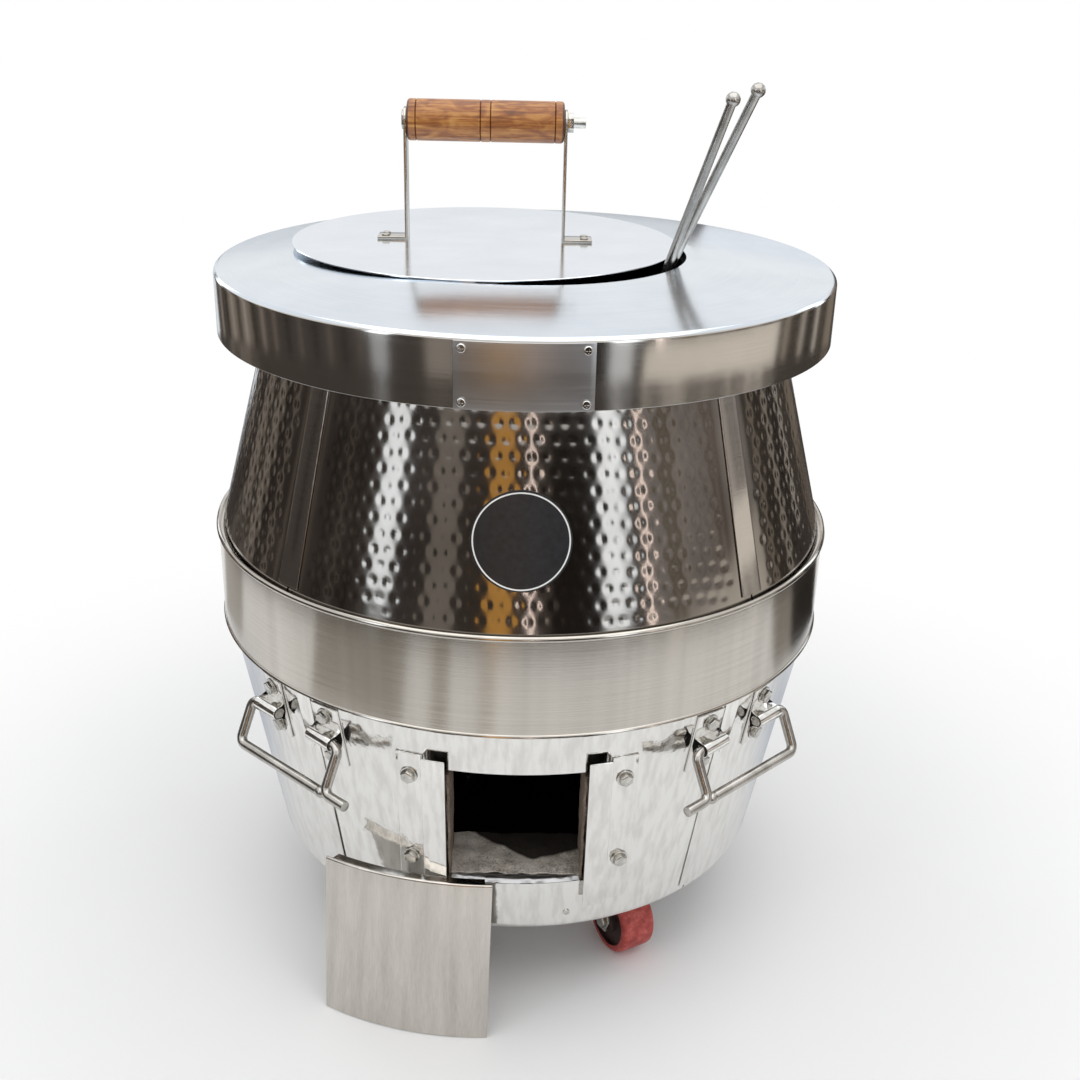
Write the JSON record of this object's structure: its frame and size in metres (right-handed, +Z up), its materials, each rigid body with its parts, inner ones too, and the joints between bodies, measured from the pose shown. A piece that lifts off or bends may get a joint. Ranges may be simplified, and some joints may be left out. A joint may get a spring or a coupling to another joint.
{
  "type": "tandoor",
  "caption": "Stainless steel tandoor: clay pot in a tapered casing with a hammered hood, lid with a wooden grip, fire opening with a loose door, drop handles, skewers and swivel castors.",
  "frame": {"origin": "on the floor, on the axis of the pot", "axes": "+Z up along the pot's axis, the fire opening at the front towards -Y, +X to the right seen from the front"},
  "size_m": [0.6364, 0.6364, 0.8868],
  "materials": {
    "polished_steel": "polished",
    "satin_steel": "satin",
    "rod_steel": "satin",
    "zinc_steel": "satin",
    "plate_metal": "satin",
    "badge_black": "gloss",
    "turned_wood": "satin",
    "fired_clay": "matte",
    "mineral_wool": "matte",
    "red_tread": "satin"
  },
  "bodies": {
    "casing": {"hood_panel_front": "polished_steel", "hood_panel_right": "polished_steel", "hood_panel_back": "polished_steel", "hood_panel_left": "polished_steel", "hood_strips": "polished_steel", "lower_cheek_left": "polished_steel", "lower_cheek_right": "polished_steel", "lower_lintel": "polished_steel", "lower_sill": "polished_steel", "lower_panel_right": "polished_steel", "lower_panel_back": "polished_steel", "lower_panel_left": "polished_steel", "lower_strips": "polished_steel", "door_rail_left": "polished_steel", "door_rail_right": "polished_steel", "top_deck": "satin_steel", "belly_band": "satin_steel", "vent_tunnel": "satin_steel", "base_pan": "satin_steel", "handle_saddles": "rod_steel", "door_rail_bolts": "zinc_steel", "handle_bolts": "zinc_steel", "name_plate_screws": "zinc_steel", "caster_plates": "zinc_steel", "caster_bolts": "zinc_steel", "name_plate": "plate_metal", "round_badge": "badge_black", "clay_pot": "fired_clay", "hearth_floor": "fired_clay", "insulation_fill": "mineral_wool"},
    "lid": {"lid_plate": "satin_steel", "lid_bracket_left": "satin_steel", "lid_bracket_right": "satin_steel", "lid_grip": "turned_wood", "lid_bolt": "zinc_steel", "lid_nuts": "zinc_steel", "lid_rivets": "zinc_steel"},
    "fire_door": {"fire_door": "satin_steel"},
    "skewer_front": {"skewer_front": "rod_steel"},
    "skewer_back": {"skewer_back": "rod_steel"},
    "handle_front_left": {"carry_handle_front_left": "rod_steel"},
    "handle_front_right": {"carry_handle_front_right": "rod_steel"},
    "handle_back_right": {"carry_handle_back_right": "rod_steel"},
    "handle_back_left": {"carry_handle_back_left": "rod_steel"},
    "caster_front_left": {"caster_fork_front_left": "zinc_steel", "caster_axle_front_left": "zinc_steel"},
    "wheel_front_left": {"caster_wheel_front_left": "red_tread"},
    "caster_front_right": {"caster_fork_front_right": "zinc_steel", "caster_axle_front_right": "zinc_steel"},
    "wheel_front_right": {"caster_wheel_front_right": "red_tread"},
    "caster_back_left": {"caster_fork_back_left": "zinc_steel", "caster_axle_back_left": "zinc_steel"},
    "wheel_back_left": {"caster_wheel_back_left": "red_tread"},
    "caster_back_right": {"caster_fork_back_right": "zinc_steel", "caster_axle_back_right": "zinc_steel"},
    "wheel_back_right": {"caster_wheel_back_right": "red_tread"}
  },
  "joints": [
    {"name": "lid_lift", "type": "slide", "parent": "casing", "child": "lid", "axis": [0, 0, 1], "range_m": [0, 0.3]},
    {"name": "door_lift", "type": "slide", "parent": "casing", "child": "fire_door", "axis": [-0.1758, -0.6849, 0.7071], "range_m": [0, 0.2]},
    {"name": "skewer_front_draw", "type": "slide", "parent": "casing", "child": "skewer_front", "axis": [0.3233, 0.0736, 0.9434], "range_m": [0, 0.6]},
    {"name": "skewer_back_draw", "type": "slide", "parent": "casing", "child": "skewer_back", "axis": [0.4007, 0.0115, 0.9161], "range_m": [0, 0.6]},
    {"name": "handle_front_left_swing", "type": "hinge", "parent": "casing", "child": "handle_front_left", "pos_m": [-0.2132, -0.22863, 0.31], "axis": [-0.7314, 0.682, 0], "range_deg": [-25, 100]},
    {"name": "handle_front_right_swing", "type": "hinge", "parent": "casing", "child": "handle_front_right", "pos_m": [0.2132, -0.22863, 0.31], "axis": [-0.7314, -0.682, 0], "range_deg": [-25, 100]},
    {"name": "handle_back_right_swing", "type": "hinge", "parent": "casing", "child": "handle_back_right", "pos_m": [0.2132, 0.22863, 0.31], "axis": [0.7314, -0.682, 0], "range_deg": [-25, 100]},
    {"name": "handle_back_left_swing", "type": "hinge", "parent": "casing", "child": "handle_back_left", "pos_m": [-0.2132, 0.22863, 0.31], "axis": [0.7314, 0.682, 0], "range_deg": [-25, 100]},
    {"name": "caster_front_left_swivel", "type": "hinge", "parent": "casing", "child": "caster_front_left", "pos_m": [-0.1011, -0.13417, 0.09], "axis": [0, 0, 1], "continuous": true},
    {"name": "wheel_front_left_spin", "type": "hinge", "parent": "caster_front_left", "child": "wheel_front_left", "pos_m": [-0.08656, -0.16041, 0.0375], "axis": [0.8746, 0.4848, 0], "continuous": true},
    {"name": "caster_front_right_swivel", "type": "hinge", "parent": "casing", "child": "caster_front_right", "pos_m": [0.1011, -0.13417, 0.09], "axis": [0, 0, 1], "continuous": true},
    {"name": "wheel_front_right_spin", "type": "hinge", "parent": "caster_front_right", "child": "wheel_front_right", "pos_m": [0.11564, -0.16041, 0.0375], "axis": [0.8746, 0.4848, 0], "continuous": true},
    {"name": "caster_back_left_swivel", "type": "hinge", "parent": "casing", "child": "caster_back_left", "pos_m": [-0.1011, 0.13417, 0.09], "axis": [0, 0, 1], "continuous": true},
    {"name": "wheel_back_left_spin", "type": "hinge", "parent": "caster_back_left", "child": "wheel_back_left", "pos_m": [-0.08656, 0.10793, 0.0375], "axis": [0.8746, 0.4848, 0], "continuous": true},
    {"name": "caster_back_right_swivel", "type": "hinge", "parent": "casing", "child": "caster_back_right", "pos_m": [0.1011, 0.13417, 0.09], "axis": [0, 0, 1], "continuous": true},
    {"name": "wheel_back_right_spin", "type": "hinge", "parent": "caster_back_right", "child": "wheel_back_right", "pos_m": [0.11564, 0.10793, 0.0375], "axis": [0.8746, 0.4848, 0], "continuous": true}
  ]
}
